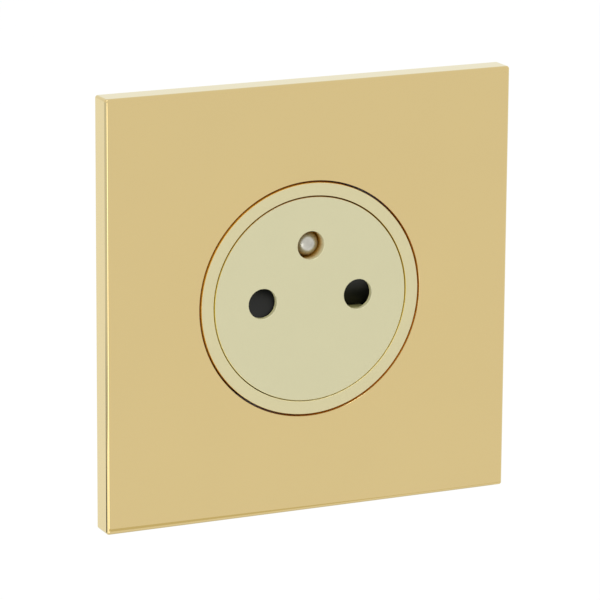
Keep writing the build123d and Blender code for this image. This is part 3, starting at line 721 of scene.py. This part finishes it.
def seats(node, head_d, head_t, kind):
    """Where a node's screws sit, from the frame's boxes: matrices whose Z points out of each head."""
    low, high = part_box(node)
    middle_y = (low.y + high.y) / 2
    across, up = high.x - head_d / 2, high.z - head_d / 2
    if kind == "terminal":
        reach = high.x - head_t
        spots = [
            ((reach, middle_y, 0), (1, 0, 0)),
            ((-reach, middle_y, 0), (-1, 0, 0)),
            ((0, middle_y, reach), (0, 0, 1)),
        ]
    else:
        corners = [(-across, up), (across, -up)]
        if kind == "housing":
            corners += [(across, up), (-across, -up)]
        spots = [((x, high.y - head_t, z), (0, 1, 0)) for x, z in corners]
    return [Matrix.Translation(at) @ pointing(outward, up="X") for at, outward in spots]


def screw_mesh(sizes, places):
    """Slotted cheese-head screws with a rolled thread, one at each place, whose Z is up from its seat."""
    head_d, head_t, shank_d, shank_l, pitch = (size * MM for size in sizes)
    head_r = head_d / 2
    slot_floor = head_t * SLOT_FLOOR
    bevel = head_t * HEAD_BEVEL
    root = shank_d / 2 - THREAD_DEPTH * pitch
    rows = max(int(shank_l / pitch * THREAD_ROWS), LEAST_ROWS)
    turns = around(THREAD_SIDES)
    mesh = bmesh.new()
    for place in places:
        rings = []
        for row in range(rows + 1):
            z = -shank_l * (1 - row / rows)
            fade = min((z + shank_l) / pitch, 1)
            ring = []
            for k, t in enumerate(turns):
                phase = (z / pitch - k / THREAD_SIDES) % 1
                crest = 1 - abs(2 * phase - 1)
                radius = root + (shank_d / 2 - root) * crest * fade
                ring.append(place @ Vector((radius * math.cos(t), radius * math.sin(t), z)))
            rings.append(ring)
        skin(mesh, rings, capped=True)
        # The head's foot is a whole disc, and two cheeks stand on it with the slot between them
        disc = []
        for z in (0, slot_floor):
            disc.append([place @ Vector((head_r * math.cos(t), head_r * math.sin(t), z)) for t in turns])
        skin(mesh, disc, capped=True)
        cheek_rows = ((head_r, slot_floor), (head_r, head_t - bevel), (head_r - bevel, head_t))
        for side in (1, -1):
            cheek = []
            for r, z in cheek_rows:
                start_angle = math.asin(SLOT_HALF / r)
                sweep = math.pi - 2 * start_angle
                arc = [start_angle + sweep * k / THREAD_SIDES for k in range(THREAD_SIDES + 1)]
                cheek.append([place @ Vector((r * math.cos(t), side * r * math.sin(t), z)) for t in arc])
            skin(mesh, cheek, capped=True)
    return mesh


class SOCKET_OT_cover_plate(bpy.types.Operator):
    """Builds the polished cover plate"""
    bl_idname = "wall_socket.cover_plate"
    bl_label = "Cover plate"

    def execute(self, context):
        plate = context.scene.socket_plate
        brass = polished_brass(plate)
        piece("brass_plate", plate_mesh(plate), brass, "socket", "polished_brass", "cover_plate")
        return {"FINISHED"}


class SOCKET_OT_face(bpy.types.Operator):
    """Builds the trim ring and finishes the face, the earth pin and the shutter"""
    bl_idname = "wall_socket.face"
    bl_label = "Ring and face"

    def execute(self, context):
        face = context.scene.socket_face
        ring_finish = champagne(face.ring_champagne, face, "ABS, sprayed champagne, ring")
        piece("champagne_ring", ring_mesh(face), ring_finish, "socket", "champagne", "trim_ring")
        paint(champagne(face.champagne, face, "ABS, sprayed champagne, face"), "face_disc")
        plated = worked_metal(
            face.nickel, "Brass, turned and nickel plated",
            along=1, mark_mm=0.3, gloss=0.3, cloud_mm=0.9, tarnish=0.3,
        )
        paint(plated, "earth_pin")
        black = moulding(
            face.shutter_black, "Acetal, moulded black",
            ior=1.42, gloss=0.36, texture_mm=0.2, depth_mm=0.004, fleck=0.12,
        )
        paint(black, "shutter")
        return {"FINISHED"}


class SOCKET_OT_springs(bpy.types.Operator):
    """Builds the return spring and the shutter's hairpin spring"""
    bl_idname = "wall_socket.springs"
    bl_label = "Springs"

    def execute(self, context):
        wire = context.scene.socket_wire
        steel = worked_metal(wire.steel, "Spring steel, drawn", along=1, mark_mm=0.25, gloss=0.3)
        coil_mesh = wire_mesh(coil_path(wire), wire.return_wire / 2)
        coil = piece("return_coil", coil_mesh, steel, "socket", "spring_steel", "return_spring")
        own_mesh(coil)
        path = hairpin_path(wire)
        hairpin_mesh = wire_mesh(path, wire.hairpin_wire / 2)
        hairpin = piece("shutter_hairpin", hairpin_mesh, steel, None, "spring_steel", "shutter_spring")
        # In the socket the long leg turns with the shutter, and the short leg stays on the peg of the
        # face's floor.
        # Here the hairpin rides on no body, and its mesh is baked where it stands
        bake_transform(hairpin)
        return {"FINISHED"}


class SOCKET_OT_screws(bpy.types.Operator):
    """Builds the screws with their slots and threads, and plates them and the support frame"""
    bl_idname = "wall_socket.screws"
    bl_label = "Screws"

    def execute(self, context):
        zinc = plated_zinc(context.scene.socket_wire.zinc)
        paint(zinc, "support_frame")
        for kind, (body, sizes) in SCREWS.items():
            node = f"{kind}_screws"
            head_d, head_t = sizes[0] * MM, sizes[1] * MM
            mesh = screw_mesh(sizes, seats(node, head_d, head_t, kind))
            piece(f"slotted_{kind}_screws", mesh, zinc, body, "zinc_plate", node)
        return {"FINISHED"}


class SOCKET_OT_mouldings(bpy.types.Operator):
    """Finishes the moulded parts behind the plate"""
    bl_idname = "wall_socket.mouldings"
    bl_label = "Mouldings"

    def execute(self, context):
        inside = context.scene.socket_inside
        grey = moulding(
            inside.grey, "Polycarbonate, moulded grey",
            ior=1.585, gloss=0.5, texture_mm=0.35, depth_mm=0.012, fleck=0.03,
        )
        paint(grey, "well_housing", "rear_cover")
        ivory = moulding(
            inside.ivory, "Urea resin, pressed ivory",
            ior=1.55, gloss=0.38, texture_mm=0.5, depth_mm=0.006, fleck=0.05,
        )
        paint(ivory, "contact_block")
        black = moulding(
            inside.black, "Polyamide, moulded black",
            ior=1.53, gloss=0.5, texture_mm=0.3, depth_mm=0.01, fleck=0.12,
        )
        paint(black, "plate_liner", "shutter_base")
        return {"FINISHED"}


class SOCKET_OT_contacts(bpy.types.Operator):
    """Finishes the contacts, strap and terminals"""
    bl_idname = "wall_socket.contacts"
    bl_label = "Contacts"

    def execute(self, context):
        inside = context.scene.socket_inside
        bronze = worked_metal(inside.bronze, "Phosphor bronze, rolled", along=0, mark_mm=0.2, gloss=0.32)
        paint(bronze, "line_contact", "neutral_contact")
        brass = worked_metal(inside.brass, "Brass, cut from bar", along=1, mark_mm=0.25, gloss=0.28)
        paint(brass, "earth_strap", "line_terminal", "neutral_terminal", "earth_terminal")
        return {"FINISHED"}


def seen_directly(tree):
    """A factor that is 1 for rays from the camera, a mirror or glass, which are to see plain white."""
    path = add(tree, "ShaderNodeLightPath")
    mirrored = add(tree, "ShaderNodeMath", {
        0: path.outputs["Is Camera Ray"], 1: path.outputs["Is Glossy Ray"],
    }, operation="MAXIMUM")
    return add(tree, "ShaderNodeMath", {
        0: mirrored.outputs[0], 1: path.outputs["Is Transmission Ray"],
    }, operation="MAXIMUM").outputs[0]


def stage_card(name, finish, centre, aim, width, height):
    """A flat card on the stage that faces a point."""
    mesh = bmesh.new()
    bmesh.ops.create_grid(mesh, x_segments=1, y_segments=1, size=0.5)
    data = bpy.data.meshes.new(name)
    mesh.to_mesh(data)
    mesh.free()
    data.materials.append(finish)
    card = bpy.data.objects.new(name, data)
    turn = pointing(Vector(aim) - Vector(centre))
    card.matrix_world = Matrix.Translation(centre) @ turn @ Matrix.Diagonal((width, height, 1, 1))
    bpy.context.scene.collection.objects.link(card)
    return card


def falloff(tree, level, foot, side):
    """A card's brightness where it changes towards its foot or towards both its sides."""
    place = add(tree, "ShaderNodeTexCoord").outputs["Generated"]
    share = add(tree, "ShaderNodeSeparateXYZ", {"Vector": place})
    if foot is not None:
        level = add(tree, "ShaderNodeMapRange", {
            "Value": share.outputs["Y"],
            "From Min": FOOT_FROM,
            "From Max": FOOT_TO,
            "To Min": foot,
            "To Max": level,
        }).outputs["Result"]
    if side is not None:
        # How far in from the nearer side, as a share of the width
        inward = add(tree, "ShaderNodeMath", {
            0: share.outputs["X"], 1: 0.5,
        }, operation="PINGPONG").outputs[0]
        level = add(tree, "ShaderNodeMapRange", {
            "Value": inward, "From Max": SIDE_FADE, "To Min": side, "To Max": level,
        }, interpolation_type="SMOOTHSTEP").outputs["Result"]
    return level


def mirror_card(name, hex_colour, centre, aim, width, height, level=1.0, foot=None, side=None, tilt=0):
    """A card that only polished surfaces see, evenly bright, or graded to its foot or to both sides."""
    made = bpy.data.materials.new(f"Paper, {name.lower()}")
    made.use_nodes = True
    tree = made.node_tree
    if foot is not None or side is not None:
        level = falloff(tree, level, foot, side)
    glow = add(tree, "ShaderNodeEmission", {"Color": shade(linear(hex_colour), 1), "Strength": level})
    tree.links.new(glow.outputs[0], tree.nodes["Material Output"].inputs["Surface"])
    card = stage_card(name, made, centre, aim, width, height)
    card.rotation_euler.rotate_axis("Z", math.radians(tilt))
    card.visible_camera = False
    card.visible_diffuse = False
    card.visible_shadow = False


def edge_card(name, hex_colour, level, bearings, reach, heights, **graded):
    """A mirror card round the plate's left front edge, between two bearings in degrees and two heights."""
    edge = Vector((-PLATE_HALF, FRONT, sum(heights) / 2))
    # Bearings count from straight back round to the left
    turns = [math.radians(bearing) for bearing in bearings]
    ends = [edge + Vector((-math.sin(turn), math.cos(turn), 0)) * reach for turn in turns]
    width = (ends[1] - ends[0]).length
    middle = (ends[0] + ends[1]) / 2
    mirror_card(name, hex_colour, middle, edge, width, heights[1] - heights[0], level, **graded)


def soft_light(name, centre, aim, width, height, watts):
    """A soft rectangular lamp that faces a point."""
    data = bpy.data.lights.new(name, "AREA")
    data.shape = "RECTANGLE"
    data.size = width
    data.size_y = height
    data.energy = watts
    lamp = bpy.data.objects.new(name, data)
    turn = pointing(Vector(aim) - Vector(centre), axis="-Z")
    lamp.matrix_world = Matrix.Translation(centre) @ turn
    lamp.visible_camera = False
    bpy.context.scene.collection.objects.link(lamp)
    return lamp


class SOCKET_OT_stage(bpy.types.Operator):
    """Sets up the floor, the light and the camera"""
    bl_idname = "wall_socket.stage"
    bl_label = "Stage"

    def execute(self, context):
        scene = context.scene
        stage = scene.socket_stage
        self.set_world(scene)
        self.set_floor(stage)
        self.set_lamps()
        self.set_camera(scene, stage)
        scene.view_settings.view_transform = "Standard"
        return {"FINISHED"}

    def set_world(self, scene):
        """White to the camera and to mirrors, and a softer even light for the rest."""
        world = bpy.data.worlds.new("Studio")
        world.use_nodes = True
        tree = world.node_tree
        background = tree.nodes["Background"]
        level = add(tree, "ShaderNodeMapRange", {
            "Value": seen_directly(tree), "To Min": AMBIENT, "To Max": 1.0,
        })
        tree.links.new(level.outputs["Result"], background.inputs["Strength"])
        background.inputs["Color"].default_value = shade(linear(WHITE), 1)
        scene.world = world

    def set_floor(self, stage):
        """A pale matt floor that stays white to the camera, apart from a trace of shadow."""
        made = bpy.data.materials.new("Paper, matt white")
        made.use_nodes = True
        tree = made.node_tree
        shader = tree.nodes["Principled BSDF"]
        join(tree, shader, Base_Color=shade(stage.floor, 1), Roughness=0.9)
        white = add(tree, "ShaderNodeEmission", {"Strength": FLOOR_GLOW})
        share = add(tree, "ShaderNodeMath", {0: seen_directly(tree), 1: FLOOR_SHARE}, operation="MULTIPLY")
        mixed = add(tree, "ShaderNodeMixShader", {
            0: share.outputs[0], 1: shader.outputs[0], 2: white.outputs[0],
        })
        tree.links.new(mixed.outputs[0], tree.nodes["Material Output"].inputs["Surface"])
        level = -PLATE_HALF - stage.floor_drop
        stage_card("floor", made, (0, 0, level), (0, 0, 0), FLOOR_SIZE, FLOOR_SIZE)

    def set_lamps(self):
        """Lamps on the left and above, and cards that the polished edges mirror, all placed in metres."""
        middle = (0, 0, 0)
        key = soft_light("Key light", (-0.62, -0.46, 0.05), middle, width=0.75, height=0.9, watts=2.4)
        top = soft_light("Top light", (0.1, -0.35, 0.9), middle, width=0.9, height=0.7, watts=4.0)
        key.visible_glossy = False
        top.visible_glossy = False
        # Round the left front edge: these make its dark line, its highlight and the tone of the side
        edge_card(
            "Shaded card", COOL, level=1.0,
            bearings=(29, 86), reach=0.35, heights=(-0.165, -0.01), foot=0.15,
        )
        edge_card(
            "Cool card", COOL, level=1.0,
            bearings=(86, 134), reach=0.35, heights=(-0.113, -0.01),
        )
        edge_card(
            "Low card", WHITE, level=1.6,
            bearings=(80, 138), reach=0.35, heights=(-0.18, -0.113), side=1.0,
        )
        edge_card(
            "Strip card", WHITE, level=2.8,
            bearings=(133, 159), reach=0.45, heights=(-0.20, -0.035), side=1.0,
        )
        mirror_card(
            "Bright card", WHITE, (-0.34, 0.64, -0.165), (-0.04, 0, -0.165),
            width=0.5, height=0.25, level=1.07,
        )
        # Overhead, mirrored by rounded edges that face up
        mirror_card("Softbox", WHITE, (-0.10, -0.31, 0.73), middle, width=0.26, height=0.26, level=5.0)
        # Below, for the lines along the bottom edge
        mirror_card(
            "Shaded table", WHITE, (0.002, 0.0265, -0.05), (0.002, 0.0265, 0),
            width=0.083, height=0.067, level=0.82,
        )
        mirror_card(
            "Plinth edge", CREAM, (0, -0.006, -0.0398), (0, 0, -0.0398),
            width=0.081, height=0.00045, tilt=0.5,
        )

    def set_camera(self, scene, stage):
        """A long lens on the photograph's line of sight."""
        data = bpy.data.cameras.new("Camera")
        data.lens = stage.lens
        data.sensor_width = 36
        data.clip_start = 0.01
        camera = bpy.data.objects.new("Camera", data)
        reach = math.cos(stage.pitch)
        away = Vector((-math.sin(stage.yaw) * reach, -math.cos(stage.yaw) * reach, math.sin(stage.pitch)))
        turn = pointing(-away, axis="-Z") @ Matrix.Rotation(stage.roll, 4, "Z")
        camera.matrix_world = Matrix.Translation(Vector(stage.target) + away * stage.distance) @ turn
        scene.collection.objects.link(camera)
        scene.camera = camera


class SOCKET_PT_panel(bpy.types.Panel):
    """Lists the socket's settings and steps."""
    bl_idname = "SOCKET_PT_panel"
    bl_label = "Wall socket"
    bl_space_type = "VIEW_3D"
    bl_region_type = "UI"
    bl_category = "Wall socket"

    def draw(self, context):
        for group, kind in GROUPS.items():
            box = self.layout.box()
            for name in kind.__annotations__:
                box.prop(getattr(context.scene, group), name)
            for operator, used in STEPS:
                if used == group:
                    box.operator(operator.bl_idname)


GROUPS = {
    "socket_plate": PlateSettings,
    "socket_face": FaceSettings,
    "socket_wire": WireSettings,
    "socket_inside": InsideSettings,
    "socket_stage": StageSettings,
}
STEPS = (
    (SOCKET_OT_cover_plate, "socket_plate"),
    (SOCKET_OT_face, "socket_face"),
    (SOCKET_OT_springs, "socket_wire"),
    (SOCKET_OT_screws, "socket_wire"),
    (SOCKET_OT_mouldings, "socket_inside"),
    (SOCKET_OT_contacts, "socket_inside"),
    (SOCKET_OT_stage, "socket_stage"),
)


def register():
    """Makes the settings, operators and panel known to Blender."""
    for name, group in GROUPS.items():
        bpy.utils.register_class(group)
        setattr(bpy.types.Scene, name, PointerProperty(type=group))
    for operator, _ in STEPS:
        bpy.utils.register_class(operator)
    bpy.utils.register_class(SOCKET_PT_panel)


def unregister():
    """Takes them away again."""
    bpy.utils.unregister_class(SOCKET_PT_panel)
    for operator, _ in reversed(STEPS):
        bpy.utils.unregister_class(operator)
    for name, group in reversed(GROUPS.items()):
        delattr(bpy.types.Scene, name)
        bpy.utils.unregister_class(group)


def main():
    """Registers the add-on and runs every step."""
    register()
    for operator, _ in STEPS:
        _, step = operator.bl_idname.split(".")
        getattr(bpy.ops.wall_socket, step)()


if __name__ == "__main__":
    main()
